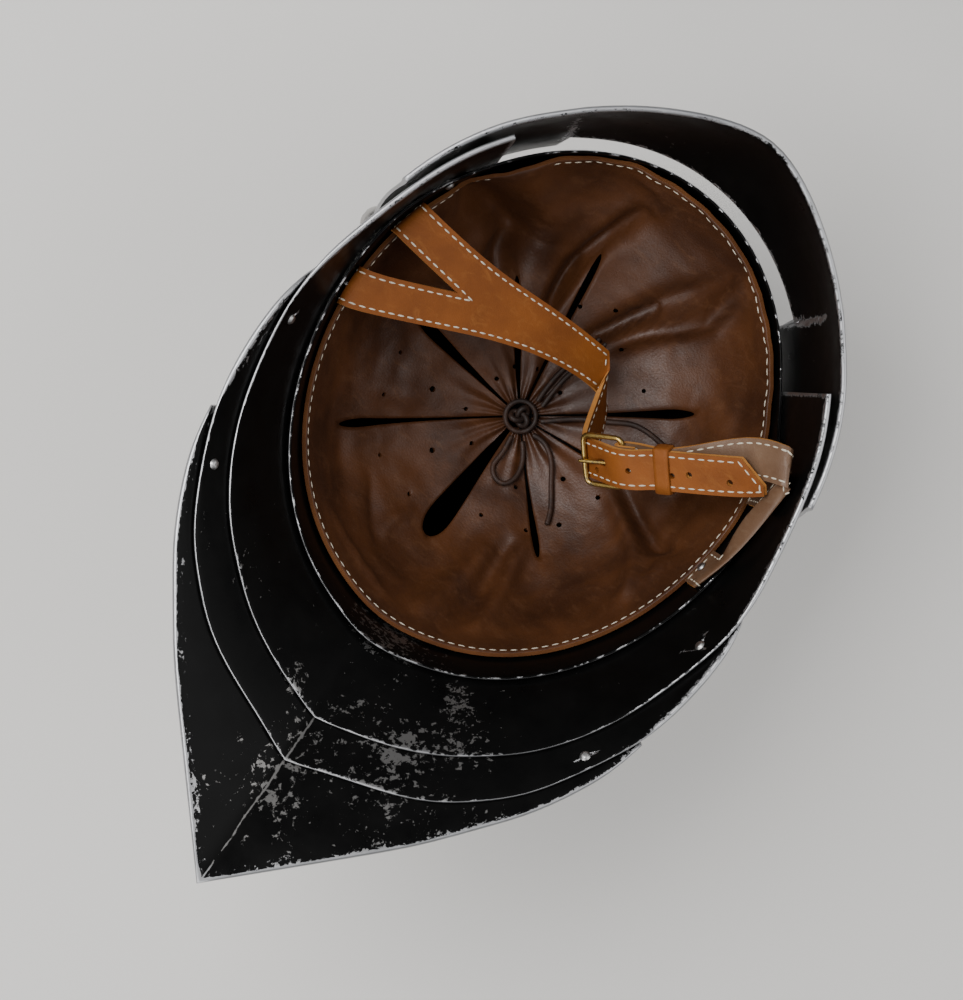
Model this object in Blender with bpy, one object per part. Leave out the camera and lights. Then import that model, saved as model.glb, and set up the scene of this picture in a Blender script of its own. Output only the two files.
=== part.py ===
"""Sallet lying on its crown with its open side up.

Five steel plates lie one outside the other: the skull, two lames, the tail and the visor.
Inside are a leather liner of eight tongues, the lace that gathers it and a forked chin strap with its buckle.
The origin is on the crown's flat. The front points to -Y, and heights are measured up from the crown.
"""
import math

import bmesh
import bpy
from mathutils import Matrix, Vector
from mathutils.bvhtree import BVHTree

MM = 0.001

# Steel sheet
sheet = 1.6 * MM
plate_gap = 0.65 * MM
roll = 3.4 * MM

# Skull, outer sizes; reaches are measured from the skull's centre
skull_half_width = 108.5 * MM
skull_front = 128 * MM
skull_rear = 126 * MM
dome_depth = 112 * MM
dome_power = 2.15
crown_flat = 0.13
dome_arc = 0.75
crown_setback = 18 * MM
brow_height = 122 * MM
side_height = 150 * MM
nape_height = 158 * MM
side_flare = 6 * MM
nape_flare = 13.6 * MM
keel_height = 2.6 * MM
keel_half_width = 22 * MM

# Lames and tail
tail_reach = 267 * MM
tail_rise = 225 * MM
rim_side_reach = 124 * MM
rim_side_height = 188 * MM
skull_lap = 17 * MM
lame_lap = 0.12
rear_sag = 6 * MM
loose_ear = 0.8 * MM
lame_2_lap_growth = 0.30
tail_lap_growth = 0.20
tail_top_limit = 0.95
lame_2_lap_from = 50
tail_lap_from = 30
tail_lap_to = 54
lame_1_end = 131
lame_2_end = 82
tail_end = 51
lame_1_roll_start = 81
lame_1_roll_end = 140
lame_2_roll_start = 58
lame_2_roll_end = 74
tail_roll_start = -10
tail_roll_end = 47
lame_2_pivot_angle = 69
lame_2_pivot_share = 0.68
tail_pivot_angle = 42
tail_pivot_share = 0.78

# Visor
visor_reach = 156 * MM
visor_rim_front = 195 * MM
visor_rim_side = 186 * MM
sight_width = 9 * MM
sight_half_angle = 34
sight_corner = 0.4
visor_arm_height = 100 * MM
visor_clearance = 4.2 * MM
visor_side_clearance = 4.8 * MM
visor_bulge = 3 * MM
visor_rake = 14
visor_end = 88
pivot_ahead = 17 * MM
pivot_height = 118 * MM
bolt_radius = 3 * MM
bolt_head_radius = 8.5 * MM
bolt_head_height = 7 * MM

# Rivets
rivet_radius = 1.5 * MM
rivet_head_radius = 2.9 * MM
rivet_head_height = 1.3 * MM
hole_clearance = 0.4 * MM
seat_gap = 0.45 * MM
front_rivet_angle = 117
front_rivet_share = -0.25
rear_rivet_share = -0.66
drill_reach = 8 * MM

# Liner
leather = 2 * MM
liner_gap = 0.95 * MM
liner_inset = 16 * MM
liner_brow_inset = 4 * MM
tie_height = 48 * MM
tie_across = -4 * MM
tie_along = 8 * MM
pillow = 3 * MM
liner_roundness = 2.1
slit_narrow = 0.8 * MM

# Straps and buckle
strap_width = 20 * MM
strap_thickness = 2.4 * MM
strap_hole_radius = 1.7 * MM
strap_gap = 0.4 * MM
leg_seat = 0.35 * MM
bar_radius = 1.5 * MM
prong_radius = 1.1 * MM
buckle_length = 22 * MM
buckle_corner = 3.5 * MM
folded_end = 10 * MM
keeper_from = 19 * MM
keeper_width = 8 * MM
keeper_thickness = 1.5 * MM
keeper_margin = 3 * MM
long_leg_lift = 8 * MM
buckle_leg_lift = 3 * MM
buckle_leg_bend = 1.2 * MM
lace_radius = 1.5 * MM
lace_gap = 0.45 * MM
tie_ring = 8 * MM

# Degrees between two slices of a lame, and the skull's slices and rings
plate_step = 6.5
skull_slices = 40
skull_rings = 10

# Rim in plan: degrees from the tail's point, share of the way from rim_side_reach to tail_reach
rim_plan = (
    # angle, share
    (0, 1.000),
    (5, 0.860),
    (11, 0.726),
    (18, 0.614),
    (25, 0.511),
    (33, 0.432),
    (40, 0.358),
    (48, 0.279),
    (58, 0.182),
    (70, 0.098),
    (80, 0.046),
    (90, 0.003),
    (105, -0.018),
    (131, 0.007),
)
# Visor rim in plan: degrees from its point, radius as a share of visor_reach
visor_plan = (
    # angle, radius
    (0, 1.000),
    (9, 0.967),
    (15, 0.939),
    (23, 0.910),
    (30, 0.887),
    (38, 0.863),
    (45, 0.854),
    (60, 0.831),
    (74, 0.814),
)
# Skull edge: degrees from the nape, share of the way from brow_height to side_height
skull_edge = (
    # angle, share
    (90, 1.0),
    (105, 0.9),
    (118, 0.45),
    (130, 0.0),
    (180, 0.0),
)
# Where a lame's lower edge runs between the skull's edge (0) and the rim (1)
lame_1_edge = (
    # angle, share
    (0, 0.30),
    (12, 0.42),
    (30, 0.54),
    (50, 0.66),
    (66, 0.82),
    (77, 1.0),
    (131, 1.0),
)
lame_2_edge = (
    # angle, share
    (0, 0.48),
    (8, 0.58),
    (20, 0.76),
    (31, 0.86),
    (44, 0.90),
    (51, 1.0),
    (77, 1.0),
    (79, 0.90),
    (82, 0.72),
)
# Liner slits: degrees from the rear, greatest width, and how far out they reach as a share of the liner
slits = (
    # angle, width, reach, growth of the width
    (0, 15 * MM, 0.69, 1.1),
    (45.5, 6 * MM, 0.85, 3.5),
    (90, 8 * MM, 0.66, 1.5),
    (138, 8 * MM, 0.60, 1.5),
    (168, 4 * MM, 0.66, 1.5),
    (235, 6 * MM, 0.72, 3.0),
    (267, 3 * MM, 0.66, 1.5),
    (317.5, 5.5 * MM, 0.69, 3.5),
)
# Routes hold shares of skull_half_width, of skull_front and of dome_depth, in that order
long_strap_stem = (
    # across, along, up, width share, direction of its rear edge
    (0.61, -0.11, 1.18, 2.05, (0, 1, 0)),
    (0.405, -0.165, 1.07, 1.55, (0, 1, 0)),
    (0.185, -0.22, 0.95, 1.20, (-0.05, 1, 0)),
    (-0.02, -0.25, 0.83, 1.00, (-0.1, 1, -0.1)),
    (-0.155, -0.26, 0.735, 1.00, (-0.3, 0.93, -0.2)),
    (-0.24, -0.225, 0.69, 1.00, (-0.55, 0.75, -0.35)),
    (-0.275, -0.14, 0.725, 1.00, (-0.7, 0.55, -0.45)),
    (-0.295, -0.045, 0.83, 1.00, (-0.72, 0.58, -0.38)),
)
# Degrees from the nape where the straps' legs lie on the skull
long_strap_front_angle = 104
long_strap_rear_angle = 82
buckle_strap_front_angle = 107
buckle_strap_rear_angle = 82
# Turn of the buckle strap's rear leg (angle, share, distance off the wall), and the way to its outer edge
rear_leg_turn = (-94, 0.24, 7.5 * MM)
rear_leg_turn_edge = (-0.50, 0.75, 0.30)
# Where a leg lies flat, as a share of the lap below the skull's edge
leg_flat = -0.32
front_leg_end = -0.72
rear_leg_end = -0.94
# Places off the -X wall: degrees from the nape, share of the way to the rim, depth in from the wall
long_strap_tip = (
    # angle, share, depth
    (-107, 0.42, 21 * MM),
    (-106, 0.60, 11 * MM),
)
buckle_strap_fold = (
    # angle, share, depth
    (-113, 0.80, 4.4 * MM),
    (-113, 0.90, 9 * MM),
    (-114, 0.42, 20 * MM),
)
# Holes of the long strap as shares of its free end, and the width of its tip
strap_holes = (0.15, 0.60)
tip_share = 0.25
# Lace in plan, as shares of skull_half_width across and of skull_front along
lace_strand_left = ((-0.055, -0.025), (-0.048, -0.10), (-0.056, -0.20), (-0.085, -0.30), (-0.095, -0.37))
lace_strand_right = ((-0.088, -0.02), (-0.083, -0.10), (-0.092, -0.20), (-0.122, -0.30), (-0.132, -0.37))
lace_bow = (
    # across, along
    (-0.060, 0.145),
    (-0.075, 0.22),
    (-0.072, 0.28),
    (-0.11, 0.315),
    (-0.165, 0.315),
    (-0.193, 0.26),
    (-0.17, 0.19),
    (-0.115, 0.135),
)
lace_end_rear = (
    (-0.135, 0.09), (-0.20, 0.085), (-0.275, 0.125), (-0.33, 0.19), (-0.40, 0.27), (-0.43, 0.335),
)
lace_end_side = (
    (-0.125, 0.03), (-0.25, -0.07), (-0.38, -0.14), (-0.46, -0.185), (-0.55, -0.195), (-0.65, -0.185),
)


def blend(rows, position):
    """Reads a smooth curve through a table of positions and values."""
    if position <= rows[0][0]:
        return rows[0][1]
    for k in range(len(rows) - 1):
        left, right = rows[k], rows[k + 1]
        if position > right[0]:
            continue
        span = right[0] - left[0]
        t = (position - left[0]) / span
        chord = (right[1] - left[1]) / span
        before = rows[k - 1] if k else left
        after = rows[k + 2] if k + 2 < len(rows) else right
        slope_in = (right[1] - before[1]) / (right[0] - before[0]) if k else chord
        slope_out = (after[1] - left[1]) / (after[0] - left[0]) if k + 2 < len(rows) else chord
        if chord * slope_in <= 0:
            slope_in = 0
        if chord * slope_out <= 0:
            slope_out = 0
        return (
            (2 * t ** 3 - 3 * t ** 2 + 1) * left[1]
            + (t ** 3 - 2 * t ** 2 + t) * span * slope_in
            + (3 * t ** 2 - 2 * t ** 3) * right[1]
            + (t ** 3 - t ** 2) * span * slope_out
        )
    return rows[-1][1]


def place(radius, angle, height, centre=0.0):
    """A point at a radius and an angle from the skull's centre; angle 0 is the nape, 90 is +X."""
    turn = math.radians(angle)
    return Vector((radius * math.sin(turn), radius * math.cos(turn) + centre - crown_setback, height))


def oval(half_width, reach, angle):
    """Radius of an ellipse at an angle from its long axis."""
    turn = math.radians(angle)
    return 1 / math.hypot(math.sin(turn) / half_width, math.cos(turn) / reach)


def dome_share(height):
    """Share of the full plan that the skull has at a height, from the crown's flat to the dome's foot."""
    start = 1 - (1 - crown_flat ** dome_power) ** (1 / dome_power)
    up = start + (1 - start) * min(height / dome_depth, 1)
    return (1 - (1 - up) ** dome_power) ** (1 / dome_power)


def dome_centre(height):
    """How far behind the skull's centre the dome's own middle lies at a height."""
    return crown_setback * (1 - min(height / dome_depth, 1)) ** 2


def skull_radius(angle, height):
    """Outer radius of the skull and of its flared foot."""
    share = dome_share(height)
    below = max(height - dome_depth, 0)
    half_width = skull_half_width * share + side_flare * below / (side_height - dome_depth)
    if abs(angle) > 90:
        reach = skull_front * share
    else:
        reach = skull_rear * share + nape_flare * (below / (nape_height - dome_depth)) ** 1.5
    radius = oval(half_width, reach, angle)
    return radius + keel(radius, angle) * min(below / (nape_height - dome_depth), 1)


def keel(radius, angle):
    """Height of the medial ridge, at the rear only."""
    if abs(angle) > 90:
        return 0.0
    across = abs(radius * math.sin(math.radians(angle)))
    return keel_height * max(0.0, 1 - across / keel_half_width)


def skull_edge_height(angle):
    """Height of the skull's lower edge: a cut-out brow, then deeper sides and nape."""
    angle = abs(angle)
    if angle < 90:
        return side_height + (nape_height - side_height) * math.cos(math.radians(angle)) ** 2
    return brow_height + (side_height - brow_height) * blend(skull_edge, angle)


def rim_height(angle):
    """Height of the rolled rim: highest at the tail's point."""
    rise = max(0.0, 1 - abs(angle) / 90) ** 1.6
    return rim_side_height + (tail_rise - rim_side_height) * rise


def wall(angle, share):
    """Outer side of the skull below 0, and the flared wall from the skull's edge at 0 to the rim at 1."""
    foot = skull_edge_height(angle)
    if share <= 0:
        height = foot + share * skull_lap
        return place(skull_radius(angle, height), angle, height)
    inner = skull_radius(angle, foot)
    outer = rim_side_reach + (tail_reach - rim_side_reach) * blend(rim_plan, abs(angle)) - roll
    sag = rear_sag * max(0.0, math.cos(math.radians(angle))) ** 2
    radius = inner + (outer - inner) * share
    height = foot + (rim_height(angle) - foot) * share + sag * 4 * share * (1 - share)
    return place(radius + keel(radius, angle), angle, height)


def visor_rim_height(angle):
    return visor_rim_side + (visor_rim_front - visor_rim_side) * math.cos(math.radians(angle)) ** 2


def visor_radius(angle, height):
    """Inner radius of the visor; its angle is measured from the front."""
    near = min(max((abs(angle) - 40) / 40, 0), 1)
    clearance = visor_clearance + (visor_side_clearance - visor_clearance) * near
    sight = brow_height + sight_width
    radius = skull_radius(180 - abs(angle), min(height, sight)) + clearance
    if height <= sight:
        return radius
    share = (height - sight) / (visor_rim_height(angle) - sight)
    rim = visor_reach * blend(visor_plan, abs(angle)) - roll
    return radius + (rim - radius) * share + visor_bulge * 4 * share * (1 - share)


def visor_wall(angle, share):
    """The visor's inner side from its upper edge at 0 to its rim at 1, leaning back at its ends."""
    side = 1 if angle >= 0 else -1
    top = visor_top(abs(angle))
    turned = side * (abs(angle) - visor_rake * max(0.0, (abs(angle) - 50) / 38) * share)
    height = top + (visor_rim_height(turned) - top) * share
    return place(visor_radius(turned, height), 180 - turned, height)


def visor_top(angle):
    """Height of the visor's upper edge: the sight cut, then the arms that reach the pivots."""
    if angle < sight_half_angle:
        return brow_height + sight_width
    return visor_arm_height + (pivot_height - visor_arm_height) * 0.5 * max(0.0, (angle - 66) / 22) ** 2


def frame_at(surface, angle, share):
    """A surface's point with its outward normal and its direction towards the rim."""
    point = surface(angle, share)
    step = 0.4
    along = surface(angle + step, share) - surface(angle - step, share)
    down = surface(angle, share + 0.01) - surface(angle, share - 0.01)
    normal = along.cross(down).normalized()
    outward = Vector((point.x, point.y + crown_setback, 0))
    if normal.dot(outward) < 0:
        normal.negate()
    down = down - normal * down.dot(normal)
    return point, normal, down.normalized()


def new_object(name, mesh_builder, colour, roughness, metallic):
    """Makes a named object with its own material from a bmesh."""
    bmesh.ops.recalc_face_normals(mesh_builder, faces=mesh_builder.faces)
    mesh = bpy.data.meshes.new(name)
    mesh_builder.to_mesh(mesh)
    mesh_builder.free()
    mesh.shade_smooth()
    mesh.set_sharp_from_angle(angle=math.radians(40))
    made = bpy.data.objects.new(name, mesh)
    bpy.context.scene.collection.objects.link(made)
    paint(made, colour, roughness, metallic)
    return made


def paint(made, colour, roughness, metallic):
    material = bpy.data.materials.new(made.name)
    material.use_nodes = True
    shader = material.node_tree.nodes["Principled BSDF"]
    shader.inputs["Base Color"].default_value = (*colour, 1)
    shader.inputs["Roughness"].default_value = roughness
    shader.inputs["Metallic"].default_value = metallic
    material.diffuse_color = (*colour, 1)
    made.data.materials.append(material)


def section(surface, angle, inset, top, low, rows, rolled):
    """One slice of a plate: its inner side, then the round of its lower edge, then its outer side."""
    inner, outer = [], []
    for k in range(rows):
        share = top + (low - top) * k / (rows - 1)
        point, normal, down = frame_at(surface, angle, share)
        inner.append(point + normal * inset)
        outer.append(point + normal * (inset + sheet))
    bead = sheet + (roll - sheet) * rolled
    middle = inner[-1] + normal * bead / 2
    round_edge = []
    for turn in (-45, 0, 45, 90):
        lean = math.radians(turn)
        round_edge.append(middle + (normal * math.sin(lean) + down * math.cos(lean)) * bead / 2)
    back = min(bead * 0.9, (inner[-1] - inner[-2]).length * 0.8)
    neck = inner[-1] + normal * sheet - down * back
    return inner, round_edge, outer[:-1] + [neck]


def build_plate(name, sections, ring=False, crown=False):
    """Joins slices into one closed plate; a ring closes on itself, and a crown is closed by two flats."""
    builder = bmesh.new()
    columns = []
    for inner, round_edge, outer in sections:
        loop = inner + round_edge + outer[::-1]
        columns.append([builder.verts.new(point) for point in loop])
    rows = len(sections[0][0])
    count = len(columns)
    for k in range(count if ring else count - 1):
        here, after = columns[k], columns[(k + 1) % count]
        for j in range(len(here) - (1 if crown else 0)):
            following = (j + 1) % len(here)
            builder.faces.new((here[j], here[following], after[following], after[j]))
    if crown:
        builder.faces.new([column[0] for column in columns])
        builder.faces.new([column[-1] for column in columns])
    if not ring:
        for column in (columns[0], columns[-1]):
            for j in range(rows - 1):
                builder.faces.new((column[j], column[j + 1], column[-2 - j], column[-1 - j]))
            builder.faces.new(column[rows - 1:rows + 5])
    return new_object(name, builder, (0.42, 0.42, 0.43), 0.32, 1.0)


def skull_surface(angle, share):
    """The skull's outer side: rings by equal steps of arc on the dome, then its flared foot."""
    foot = skull_edge_height(angle)
    if share < dome_arc:
        turn = share / dome_arc * math.pi / 2
        height = dome_depth * (1 - math.cos(turn))
    else:
        height = dome_depth + (foot - dome_depth) * (share - dome_arc) / (1 - dome_arc)
    return place(skull_radius(angle, height), angle, height, dome_centre(height))


def make_skull():
    sections = []
    for k in range(skull_slices):
        angle = 180 - 360 * k / skull_slices
        inner, round_edge, outer = section(skull_surface, angle, -sheet, 0.02, 1.0, skull_rings, 0)
        flat = skull_surface(angle, 0)
        inner[0] = Vector((flat.x, flat.y, sheet))
        outer[0] = Vector((flat.x, flat.y, 0))
        sections.append((inner, round_edge, outer))
    return build_plate("skull", sections, ring=True, crown=True)


def spread(limit, step):
    """Whole steps of angle from one side to the other, and the two limits."""
    half = [step * k for k in range(1, math.ceil(limit / step))] + [limit]
    return [-angle for angle in reversed(half)] + [0] + half


def make_lame(name, level, limit, top, low, rows, rolled, ear=None):
    """A flared plate; level 0 lies on the skull, level 1 on that plate, and past its ear it stands looser."""
    ear = limit if ear is None else ear
    sections = []
    for angle in spread(limit, plate_step):
        edge = low(abs(angle))
        loose = loose_ear * min(max((abs(angle) - ear) / 4, 0), 1)
        inset = plate_gap + level * (plate_gap + sheet) + loose
        sections.append(section(wall, angle, inset, top(abs(angle), edge), edge, rows, rolled(abs(angle))))
    return build_plate(name, sections)


def rolled_between(first, last):
    """A share that is 1 where the rim is rolled and falls to 0 outside the two angles."""
    def rolled(angle):
        return min(max((angle - first) / 3 + 1, 0), max((last - angle) / 3 + 1, 0), 1)
    return rolled


def lap(growth, angle, first, last):
    """How far a plate reaches under the one before it, more toward its pivots."""
    return lame_lap + growth * max(0.0, (angle - first) / (last - first))


def make_lames():
    lame_1 = make_lame(
        "lame_1", 0, lame_1_end,
        lambda angle, edge: -1.0,
        lambda angle: blend(lame_1_edge, angle),
        7, rolled_between(lame_1_roll_start, lame_1_roll_end))
    lame_2 = make_lame(
        "lame_2", 1, lame_2_end,
        lambda angle, edge: blend(lame_1_edge, angle)
        - lap(lame_2_lap_growth, angle, lame_2_lap_from, lame_2_end),
        lambda angle: blend(lame_2_edge, angle),
        5, rolled_between(lame_2_roll_start, lame_2_roll_end))
    tail = make_lame(
        "tail", 2, tail_end,
        lambda angle, edge: min(blend(lame_2_edge, angle), tail_top_limit)
        - lap(tail_lap_growth, angle, tail_lap_from, tail_lap_to),
        lambda angle: 1.0 if angle < 50 else 0.97,
        6, rolled_between(tail_roll_start, tail_roll_end), tail_pivot_angle + 2)
    return lame_1, lame_2, tail


def make_visor():
    sections = []
    slot = sight_half_angle
    arms = [slot + (visor_end - slot) * k / 8 for k in range(1, 9)]
    half = [slot * 0.25, slot * 0.5, slot * 0.75, slot - sight_corner, slot + sight_corner] + arms
    for angle in [-value for value in reversed(half)] + [0] + half:
        sections.append(section(visor_wall, angle, 0, 0, 1, 9, 1))
    return build_plate("visor", sections)


def turned(name, profile, place_at, axis, sides, colour, roughness, metallic):
    """A body turned round an axis from (distance along the axis, radius) pairs."""
    axis = axis.normalized()
    side = axis.orthogonal().normalized()
    other = axis.cross(side)
    builder = bmesh.new()
    rings = []
    for distance, radius in profile:
        ring = []
        for k in range(sides):
            turn = 2 * math.pi * k / sides
            ring.append(builder.verts.new(
                place_at + axis * distance + (side * math.cos(turn) + other * math.sin(turn)) * radius))
        rings.append(ring)
    for below, above in zip(rings, rings[1:]):
        for k in range(sides):
            following = (k + 1) % sides
            builder.faces.new((below[k], below[following], above[following], above[k]))
    builder.faces.new(rings[0])
    builder.faces.new(rings[-1])
    return new_object(name, builder, colour, roughness, metallic)


def make_rivet(name, angle, share, inner_face, outer_face):
    """A rivet with two heads; the faces that it holds are given as heights off the wall."""
    point, normal, _ = frame_at(wall, angle, share)
    low, high = inner_face - seat_gap, outer_face + seat_gap
    head = rivet_head_height
    profile = (
        (low - head, rivet_head_radius * 0.6),
        (low, rivet_head_radius),
        (low, rivet_radius),
        (high, rivet_radius),
        (high, rivet_head_radius),
        (high + head, rivet_head_radius * 0.6),
    )
    turned(name, profile, point, normal, 8, (0.5, 0.5, 0.5), 0.35, 1.0)
    return point, normal


def drill(plates, point, axis, radius, reach=drill_reach):
    """Cuts a round hole through plates with a cutter that the build leaves out."""
    profile = ((-reach, radius), (reach, radius))
    cutter = turned("cutter", profile, point, axis, 8, (0.5, 0.5, 0.5), 0.5, 0)
    cutter.hide_render = True
    cutter.display_type = "WIRE"
    for plate in plates:
        cut = plate.modifiers.new("hole", "BOOLEAN")
        cut.operation = "DIFFERENCE"
        cut.solver = "EXACT"
        cut.object = cutter


def make_rivets(skull, lame_1, lame_2, tail, straps):
    """Four rivets hold lame_1 to the skull; lame_2 and the tail turn on two rivets each."""
    stack = plate_gap + sheet
    leg = plate_gap + leg_seat + strap_thickness
    rows = (
        # name, angle, share, inner face, outer face, plates
        ("lame_rivet_front", front_rivet_angle, front_rivet_share, -sheet, stack, (skull, lame_1)),
        ("lame_rivet_rear", long_strap_rear_angle, rear_rivet_share, -sheet - leg, stack, (skull, lame_1)),
        ("lame_2_pivot", lame_2_pivot_angle, lame_2_pivot_share, plate_gap, 2 * stack, (lame_1, lame_2)),
        ("tail_pivot", tail_pivot_angle, tail_pivot_share, plate_gap + stack, 3 * stack, (lame_2, tail)),
    )
    for side, label in ((1, "left"), (-1, "right")):
        for name, angle, share, inner_face, outer_face, plates in rows:
            point, normal = make_rivet(f"{name}_{label}", side * angle, share, inner_face, outer_face)
            drill(plates, point, normal, rivet_radius + hole_clearance)
            if name == "lame_rivet_rear":
                drill((straps[side],), point, normal, rivet_radius + hole_clearance)


def hinge_point(angle, share, depth):
    """The middle of the line between a plate's two pivot rivets."""
    point, normal, _ = frame_at(wall, angle, share)
    on_rivet = point + normal * depth
    return Vector((0, on_rivet.y, on_rivet.z))


def set_origin(made, point):
    """Puts a moving piece's origin on its joint's axis and leaves the piece where it is."""
    made.data.transform(Matrix.Translation(-point))
    made.location = point


def make_bolts(skull, visor):
    """Each bolt holds an arm of the visor, with a collar between arm and skull."""
    wide = math.degrees(math.atan2(skull_half_width, pivot_ahead))
    face = skull_radius(180 - wide, pivot_height)
    for side, label in ((1, "left"), (-1, "right")):
        edge = place(face, side * (180 - wide), pivot_height)
        axis = Vector((side, 0, 0))
        arm = abs(place(visor_radius(wide, pivot_height), 180 - wide, pivot_height).x)
        slope = side_flare / (side_height - dome_depth)
        collar = bolt_radius * 1.7
        low = seat_gap + collar * slope
        inner = arm - abs(edge.x) - seat_gap - collar * slope
        head = arm - abs(edge.x) + sheet + seat_gap + bolt_head_radius * slope
        profile = [
            (-sheet * 0.9, bolt_radius),
            (low, bolt_radius),
            (low, collar),
            (inner, collar),
            (inner, bolt_radius),
            (head, bolt_radius),
            (head, bolt_head_radius),
        ]
        for k in range(1, 4):
            turn = math.radians(24 * k)
            profile.append((head + bolt_head_height * math.sin(turn), bolt_head_radius * math.cos(turn)))
        turned(f"visor_bolt_{label}", profile, edge, axis, 12, (0.45, 0.45, 0.45), 0.3, 1.0)
        drill((skull, visor), edge, axis, bolt_radius + hole_clearance)


def liner_top(angle):
    """Height of the liner's sewn edge: under the brow at the front, deeper at the sides."""
    edge = skull_edge_height(angle)
    over = (edge - brow_height) / (side_height - brow_height)
    return edge - liner_brow_inset - (liner_inset - liner_brow_inset) * min(over, 1.6)


def liner_point(angle, share, pillow_share=0.0):
    """The liner's upper, open side: 1 is the sewn edge and 0 the middle where the tongues meet."""
    folded = 180 - abs((angle % 360) - 180)
    rise = 1 - math.sqrt(max(0.0, 1 - share ** liner_roundness))
    height = tie_height + (liner_top(folded) - tie_height) * rise
    reach = skull_radius(folded, max(height, dome_depth)) - sheet - liner_gap - leather
    height += pillow * pillow_share
    turn = math.radians(angle)
    return Vector((
        reach * share * math.sin(turn) + tie_across * (1 - share),
        reach * share * math.cos(turn) + tie_along * (1 - share) - crown_setback,
        height,
    ))


def slit_half_width(slit, share):
    """Half the gap between two tongues: narrow at the middle, a teardrop at its outer end."""
    angle, width, reach, growth = slit
    if share >= reach:
        return 0.0
    near = share / reach
    return 0.5 * (slit_narrow + (width - slit_narrow) * near ** growth)


def make_liner():
    """Eight tongues, split by slits that stop short of the sewn edge, as one leather bowl."""
    shares = (1.0, 0.96, 0.88, 0.80, 0.70, 0.63, 0.45, 0.26, 0.12, 0.055)
    fractions = (0.0, 0.25, 0.5, 0.75, 1.0)
    builder = bmesh.new()
    made = {}

    def vertex(point):
        key = tuple(round(value / (0.02 * MM)) for value in point)
        if key not in made:
            made[key] = builder.verts.new(point)
        return made[key]

    for k, slit in enumerate(slits):
        following = slits[(k + 1) % len(slits)]
        last = following[0] + (360 if k + 1 == len(slits) else 0)
        grid = []
        for share in shares:
            row = []
            scale = max(share, 0.05) * skull_half_width
            first_edge = slit[0] + math.degrees(slit_half_width(slit, share) / scale)
            last_edge = last - math.degrees(slit_half_width(following, share) / scale)
            for fraction in fractions:
                angle = first_edge + (last_edge - first_edge) * fraction
                swell = math.sin(math.pi * fraction) * max(0.0, 1 - share) * min(share / 0.2, 1)
                row.append(vertex(liner_point(angle % 360, share, swell)))
            grid.append(row)
        for upper, lower in zip(grid, grid[1:]):
            for j in range(len(fractions) - 1):
                builder.faces.new((upper[j], upper[j + 1], lower[j + 1], lower[j]))
    liner = new_object("liner", builder, (0.115, 0.045, 0.018), 0.5, 0.0)
    thicken(liner, leather, Vector((0, 0, -1)))
    return liner


def thicken(made, thickness, side, centred=False):
    """Gives an open sheet its thickness on the side that a direction names."""
    mesh = made.data
    downward = sum((polygon.normal * polygon.area for polygon in mesh.polygons), Vector())
    solid = made.modifiers.new("thickness", "SOLIDIFY")
    solid.thickness = thickness
    if centred:
        solid.offset = 0
    else:
        solid.offset = 1 if downward.dot(side) > 0 else -1


def route_point(across, along, up):
    """A strap's point from its shares of the skull's sizes."""
    return Vector((across * skull_half_width, along * skull_front - crown_setback, up * dome_depth))


def across_vector(direction, lean):
    """A strap's width direction: level and square to its run, then leaned by an angle."""
    level = direction.cross(Vector((0, 0, 1))).normalized()
    upright = level.cross(direction).normalized()
    if upright.z < 0:
        upright.negate()
    turn = math.radians(lean)
    return level * math.cos(turn) + upright * math.sin(turn)


def buckle_frame_axes():
    """The buckle's middle and its three directions: along the strap, across it and towards the viewer."""
    middle = route_point(-0.382, 0.027, 1.054)
    along = Vector((-0.66, -0.42, 0.62)).normalized()
    across = across_vector(along, -22)
    outward = across.cross(along).normalized()
    if outward.z < 0:
        outward.negate()
    return middle, along, across, outward


def in_buckle(along_by, outward_by, across_by=0.0):
    """A point by its distances from the buckle's middle: along, off the frame's plane and across."""
    middle, along, across, outward = buckle_frame_axes()
    return middle + along * along_by + outward * outward_by + across * across_by


def wrap_radius():
    """Distance from a bar's middle to the middle of the strap that goes round it."""
    return bar_radius + strap_thickness / 2 + strap_gap


def long_strap_end():
    """Centre points of the long strap under one bar, over the other and on to its tip."""
    bar = buckle_length / 2
    wrap = wrap_radius()
    over = wrap * 2 + strap_thickness * 0.3
    return [
        in_buckle(-bar - wrap, -wrap * 1.8),
        in_buckle(-bar, -wrap),
        in_buckle(0, over * 0.22),
        in_buckle(bar, over),
        in_buckle(bar + folded_end, over * 0.97),
        in_buckle(bar + keeper_from - keeper_margin, strap_thickness),
        in_buckle(bar + keeper_from + keeper_width + keeper_margin, strap_thickness),
        on_wall(*long_strap_tip[0]),
        on_wall(*long_strap_tip[1]),
    ]


def buckle_strap_start():
    """Centre points of the other strap: its short folded end, round the bar and out under the long strap."""
    bar = buckle_length / 2
    wrap = wrap_radius()
    points = [in_buckle(bar + folded_end * 0.8, wrap * 0.95)]
    for turn in (90, 135, 180, 225, 270):
        lean = math.radians(turn)
        points.append(in_buckle(bar + wrap * math.cos(lean), wrap * math.sin(lean)))
    points += [
        in_buckle(bar + folded_end, -wrap * 0.8),
        in_buckle(bar + keeper_from - keeper_margin, -strap_gap),
        in_buckle(bar + keeper_from + keeper_width + keeper_margin, -strap_gap),
    ]
    return points


def on_wall(angle, share, inset):
    """A point at a depth inside the wall of the skull and lame_1."""
    point, normal, _ = frame_at(wall, angle, share)
    return point - normal * inset


def leg_line(angle, share, off=leg_seat):
    """The two edges of a strap's leg on the inside of the skull's edge, or off it by a distance."""
    point, normal, down = frame_at(wall, angle, share)
    middle = point - normal * (sheet + plate_gap + strap_thickness / 2 + off)
    side = normal.cross(down).normalized()
    if side.y < 0:
        side.negate()
    return middle - side * strap_width / 2, middle + side * strap_width / 2


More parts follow.
